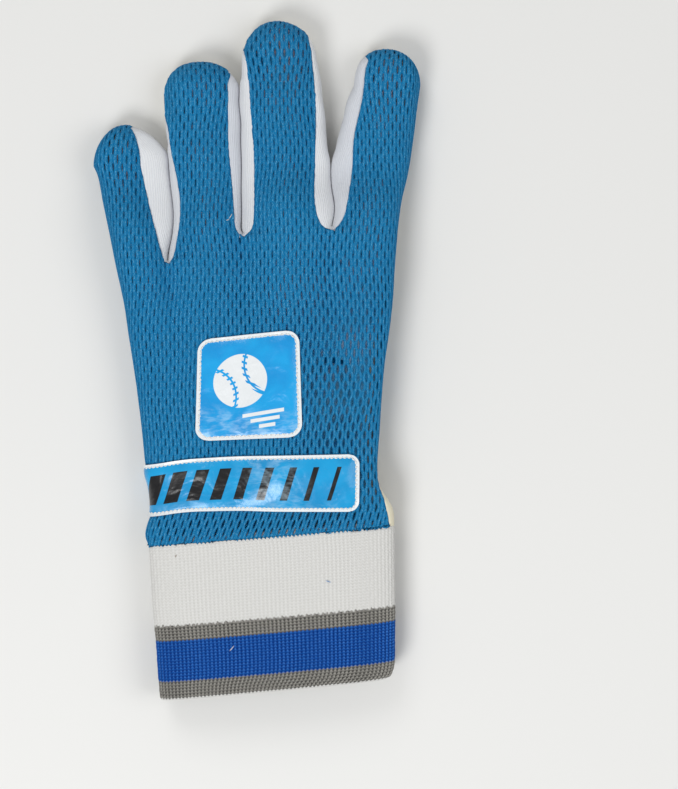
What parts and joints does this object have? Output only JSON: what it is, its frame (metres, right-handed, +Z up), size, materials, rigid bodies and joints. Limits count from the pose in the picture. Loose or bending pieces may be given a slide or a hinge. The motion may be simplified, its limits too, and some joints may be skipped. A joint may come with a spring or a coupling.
{
  "type": "wicketkeeping inner glove",
  "caption": "Left-hand wicketkeeping inner glove lying palm down: open mesh back, suede palm, knit finger gussets, ribbed cuff and a closing strap underneath.",
  "frame": {"origin": "under the middle of the glove's bounding box, on the surface it lies on", "axes": "+Y towards the fingertips, +X towards the index finger, +Z up out of the back of the hand"},
  "size_m": [0.126, 0.2617, 0.0254],
  "materials": {
    "mesh_back": "open knitted mesh, matte with a slight sheen on the yarns",
    "palm_suede": "matte cream suede with a short nap",
    "gusset_knit": "fine white jersey knit with lengthwise ribs",
    "cuff_knit": "white ribbed elastic knit with grey and royal blue stripes",
    "badge_vinyl": "glossy light blue printed vinyl with a white stitched border",
    "strap_leather": "smooth black synthetic leather with a bound edge"
  },
  "bodies": {
    "root": {"back_panel": "mesh_back", "palm_panel": "palm_suede", "small_fingertip_patch": "palm_suede", "ring_fingertip_patch": "palm_suede", "middle_fingertip_patch": "palm_suede", "index_fingertip_patch": "palm_suede", "small_side_gusset": "gusset_knit", "ring_side_gusset": "gusset_knit", "middle_side_gusset": "gusset_knit", "ribbed_cuff": "cuff_knit", "thumb_front": "palm_suede", "thumb_back": "mesh_back", "square_badge": "badge_vinyl", "bar_badge": "badge_vinyl", "strap_tab": "strap_leather", "strap_flap": "strap_leather"}
  },
  "joints": []
}
